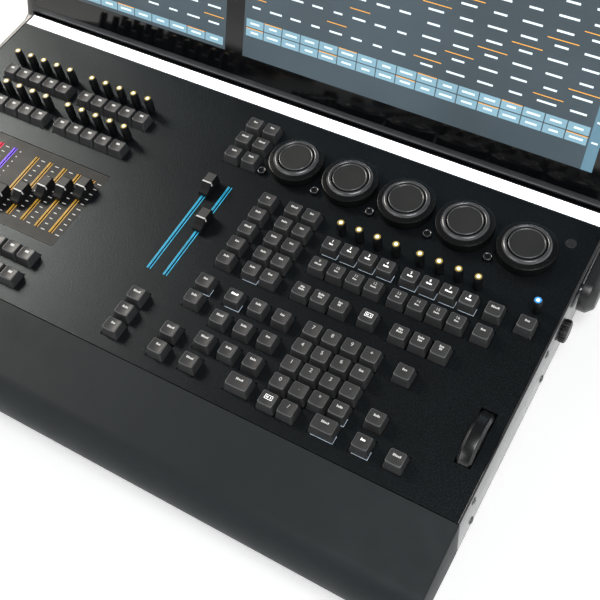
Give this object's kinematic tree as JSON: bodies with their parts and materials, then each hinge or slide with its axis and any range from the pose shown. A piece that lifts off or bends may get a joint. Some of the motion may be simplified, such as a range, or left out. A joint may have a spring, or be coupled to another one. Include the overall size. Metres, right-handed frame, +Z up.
{
  "type": "lighting control desk",
  "caption": "Stage lighting control desk with motorised faders, dual encoders, level wheel, lit keypads and a fold-down screen on side arms.",
  "frame": {"origin": "middle of the footprint, on the table that the rubber feet stand on", "axes": "+X to the right as the operator sits, +Y away from the operator towards the screen, +Z up"},
  "size_m": [0.6668, 0.4964, 0.2953],
  "materials": {
    "case_sheet": "satin black powder coat",
    "deck_paint": "fine textured near-black powder coat",
    "armrest_moulding": "matte charcoal moulding",
    "fader_panel": "matte dark grey",
    "channel_metal": "extruded aluminium",
    "diffuser": "milky light diffuser, lit",
    "circuit_board": "green solder mask",
    "inner_steel": "plated steel",
    "light_guide": "clear light guide, lit",
    "connector_plastic": "black moulded plastic",
    "foot_rubber": "matte black rubber",
    "screw_steel": "black oxide",
    "screen_housing": "satin charcoal",
    "screen_glass": "polished dark glass",
    "display": "lit display",
    "arm_paint": "satin grey paint",
    "knob_plastic": "satin black",
    "ring_plastic": "semi-gloss charcoal, bright bevel",
    "dial_plastic": "satin charcoal",
    "wheel_plastic": "gloss black",
    "fader_cap": "satin charcoal with a white line",
    "keycap": "satin charcoal with pale legends"
  },
  "bodies": {
    "chassis": {"base_pan": "case_sheet", "rear_panel": "case_sheet", "side_panels": "case_sheet", "deck_plate": "deck_paint", "armrest": "armrest_moulding", "executor_fader_panel": "fader_panel", "light_bar_channel": "channel_metal", "light_bar_diffuser": "diffuser", "rear_top_cover": "case_sheet", "key_circuit_boards": "circuit_board", "fader_mechanisms": "inner_steel", "fader_light_guides": "light_guide", "encoder_modules": "inner_steel", "wheel_bracket": "inner_steel", "computer_board": "circuit_board", "power_supply": "inner_steel", "rear_connectors": "connector_plastic", "power_inlet": "connector_plastic", "rubber_feet": "foot_rubber", "case_screws": "screw_steel", "screen_pivot_pins": "inner_steel"},
    "screen": {"screen_shell": "screen_housing", "screen_glass": "screen_glass", "display_panels": "display", "screen_arms": "arm_paint"},
    "left_lock_knob": {"left_lock_knob": "knob_plastic"},
    "right_lock_knob": {"right_lock_knob": "knob_plastic"},
    "encoder_ring_1": {"encoder_ring_1": "ring_plastic"},
    "encoder_dial_1": {"encoder_dial_1": "dial_plastic"},
    "encoder_ring_2": {"encoder_ring_2": "ring_plastic"},
    "encoder_dial_2": {"encoder_dial_2": "dial_plastic"},
    "encoder_ring_3": {"encoder_ring_3": "ring_plastic"},
    "encoder_dial_3": {"encoder_dial_3": "dial_plastic"},
    "encoder_ring_4": {"encoder_ring_4": "ring_plastic"},
    "encoder_dial_4": {"encoder_dial_4": "dial_plastic"},
    "encoder_ring_5": {"encoder_ring_5": "ring_plastic"},
    "encoder_dial_5": {"encoder_dial_5": "dial_plastic"},
    "level_wheel": {"level_wheel": "wheel_plastic"},
    "master_fader_a": {"master_fader_a": "fader_cap"},
    "master_fader_b": {"master_fader_b": "fader_cap"},
    "executor_fader_1": {"executor_fader_1": "fader_cap"},
    "executor_fader_2": {"executor_fader_2": "fader_cap"},
    "executor_fader_3": {"executor_fader_3": "fader_cap"},
    "executor_fader_4": {"executor_fader_4": "fader_cap"},
    "executor_fader_5": {"executor_fader_5": "fader_cap"},
    "executor_fader_6": {"executor_fader_6": "fader_cap"},
    "executor_fader_7": {"executor_fader_7": "fader_cap"},
    "executor_fader_8": {"executor_fader_8": "fader_cap"},
    "executor_fader_9": {"executor_fader_9": "fader_cap"},
    "executor_fader_10": {"executor_fader_10": "fader_cap"},
    "numeric_keys": {"numeric_keys": "keycap"},
    "x_keys": {"x_keys": "keycap"},
    "command_keys": {"command_keys": "keycap"},
    "preset_keys": {"preset_keys": "keycap"},
    "view_keys": {"view_keys": "keycap"},
    "executor_keys": {"executor_keys": "keycap"},
    "encoder_buttons": {"encoder_buttons": "dial_plastic"},
    "x_knobs": {"x_knobs": "knob_plastic"},
    "executor_knobs": {"executor_knobs": "knob_plastic"},
    "power_switch": {"power_switch": "connector_plastic"}
  },
  "joints": [
    {"name": "screen_fold", "type": "hinge", "parent": "chassis", "child": "screen", "pos_m": [0, 0.06527, 0.047], "axis": [1, 0, 0], "range_deg": [0, 112]},
    {"name": "left_lock_turn", "type": "hinge", "parent": "chassis", "child": "left_lock_knob", "pos_m": [-0.32, 0.02377, 0.046], "axis": [-1, 0, 0], "range_deg": [-180, 0]},
    {"name": "right_lock_turn", "type": "hinge", "parent": "chassis", "child": "right_lock_knob", "pos_m": [0.32, 0.02377, 0.046], "axis": [1, 0, 0], "range_deg": [-180, 0]},
    {"name": "level_wheel_turn", "type": "hinge", "parent": "chassis", "child": "level_wheel", "pos_m": [0.3004, -0.10563, 0.0485], "axis": [1, 0, 0], "continuous": true},
    {"name": "power_switch_rock", "type": "hinge", "parent": "chassis", "child": "power_switch", "pos_m": [-0.22, 0.22977, 0.033], "axis": [1, 0, 0], "range_deg": [-14, 0]},
    {"name": "master_fader_a_slide", "type": "slide", "parent": "chassis", "child": "master_fader_a", "axis": [0, 1, 0], "range_m": [-0.0936, 0.0064]},
    {"name": "master_fader_b_slide", "type": "slide", "parent": "chassis", "child": "master_fader_b", "axis": [0, 1, 0], "range_m": [-0.0576, 0.0424]},
    {"name": "numeric_keys_press", "type": "slide", "parent": "chassis", "child": "numeric_keys", "axis": [0, 0, -1], "range_m": [0, 0.003], "stiffness_N_per_m": 1000, "springref_m": -0.002},
    {"name": "x_keys_press", "type": "slide", "parent": "chassis", "child": "x_keys", "axis": [0, 0, -1], "range_m": [0, 0.003], "stiffness_N_per_m": 1000, "springref_m": -0.002},
    {"name": "command_keys_press", "type": "slide", "parent": "chassis", "child": "command_keys", "axis": [0, 0, -1], "range_m": [0, 0.003], "stiffness_N_per_m": 1000, "springref_m": -0.002},
    {"name": "preset_keys_press", "type": "slide", "parent": "chassis", "child": "preset_keys", "axis": [0, 0, -1], "range_m": [0, 0.003], "stiffness_N_per_m": 1000, "springref_m": -0.002},
    {"name": "view_keys_press", "type": "slide", "parent": "chassis", "child": "view_keys", "axis": [0, 0, -1], "range_m": [0, 0.003], "stiffness_N_per_m": 1000, "springref_m": -0.002},
    {"name": "executor_keys_press", "type": "slide", "parent": "chassis", "child": "executor_keys", "axis": [0, 0, -1], "range_m": [0, 0.003], "stiffness_N_per_m": 1000, "springref_m": -0.002},
    {"name": "encoder_buttons_press", "type": "slide", "parent": "chassis", "child": "encoder_buttons", "axis": [0, 0, -1], "range_m": [0, 0.001], "stiffness_N_per_m": 800, "springref_m": -0.001},
    {"name": "x_knobs_press", "type": "slide", "parent": "chassis", "child": "x_knobs", "axis": [0, 0, -1], "range_m": [0, 0.001], "stiffness_N_per_m": 1000, "springref_m": -0.002},
    {"name": "executor_knobs_press", "type": "slide", "parent": "chassis", "child": "executor_knobs", "axis": [0, 0, -1], "range_m": [0, 0.001], "stiffness_N_per_m": 1000, "springref_m": -0.002},
    {"name": "executor_fader_1_slide", "type": "slide", "parent": "chassis", "child": "executor_fader_1", "axis": [0, 1, 0], "range_m": [-0.0475, 0.0125]},
    {"name": "executor_fader_2_slide", "type": "slide", "parent": "chassis", "child": "executor_fader_2", "axis": [0, 1, 0], "range_m": [-0.0392, 0.0208]},
    {"name": "executor_fader_3_slide", "type": "slide", "parent": "chassis", "child": "executor_fader_3", "axis": [0, 1, 0], "range_m": [-0.0323, 0.0277]},
    {"name": "executor_fader_4_slide", "type": "slide", "parent": "chassis", "child": "executor_fader_4", "axis": [0, 1, 0], "range_m": [-0.018, 0.042]},
    {"name": "executor_fader_5_slide", "type": "slide", "parent": "chassis", "child": "executor_fader_5", "axis": [0, 1, 0], "range_m": [-0.0077, 0.0523]},
    {"name": "executor_fader_6_slide", "type": "slide", "parent": "chassis", "child": "executor_fader_6", "axis": [0, 1, 0], "range_m": [-0.0127, 0.0473]},
    {"name": "executor_fader_7_slide", "type": "slide", "parent": "chassis", "child": "executor_fader_7", "axis": [0, 1, 0], "range_m": [-0.0047, 0.0553]},
    {"name": "executor_fader_8_slide", "type": "slide", "parent": "chassis", "child": "executor_fader_8", "axis": [0, 1, 0], "range_m": [-0.0247, 0.0353]},
    {"name": "executor_fader_9_slide", "type": "slide", "parent": "chassis", "child": "executor_fader_9", "axis": [0, 1, 0], "range_m": [-0.0167, 0.0433]},
    {"name": "executor_fader_10_slide", "type": "slide", "parent": "chassis", "child": "executor_fader_10", "axis": [0, 1, 0], "range_m": [-0.0087, 0.0513]},
    {"name": "ring_1_turn", "type": "hinge", "parent": "chassis", "child": "encoder_ring_1", "pos_m": [0.0472, 0.06637, 0.076], "axis": [0, 0, 1], "continuous": true},
    {"name": "ring_2_turn", "type": "hinge", "parent": "chassis", "child": "encoder_ring_2", "pos_m": [0.1022, 0.06637, 0.076], "axis": [0, 0, 1], "continuous": true},
    {"name": "ring_3_turn", "type": "hinge", "parent": "chassis", "child": "encoder_ring_3", "pos_m": [0.1572, 0.06637, 0.076], "axis": [0, 0, 1], "continuous": true},
    {"name": "ring_4_turn", "type": "hinge", "parent": "chassis", "child": "encoder_ring_4", "pos_m": [0.2122, 0.06637, 0.076], "axis": [0, 0, 1], "continuous": true},
    {"name": "ring_5_turn", "type": "hinge", "parent": "chassis", "child": "encoder_ring_5", "pos_m": [0.2672, 0.06637, 0.076], "axis": [0, 0, 1], "continuous": true},
    {"name": "dial_1_turn", "type": "hinge", "parent": "chassis", "child": "encoder_dial_1", "pos_m": [0.0472, 0.06637, 0.076], "axis": [0, 0, 1], "continuous": true},
    {"name": "dial_2_turn", "type": "hinge", "parent": "chassis", "child": "encoder_dial_2", "pos_m": [0.1022, 0.06637, 0.076], "axis": [0, 0, 1], "continuous": true},
    {"name": "dial_3_turn", "type": "hinge", "parent": "chassis", "child": "encoder_dial_3", "pos_m": [0.1572, 0.06637, 0.076], "axis": [0, 0, 1], "continuous": true},
    {"name": "dial_4_turn", "type": "hinge", "parent": "chassis", "child": "encoder_dial_4", "pos_m": [0.2122, 0.06637, 0.076], "axis": [0, 0, 1], "continuous": true},
    {"name": "dial_5_turn", "type": "hinge", "parent": "chassis", "child": "encoder_dial_5", "pos_m": [0.2672, 0.06637, 0.076], "axis": [0, 0, 1], "continuous": true}
  ]
}
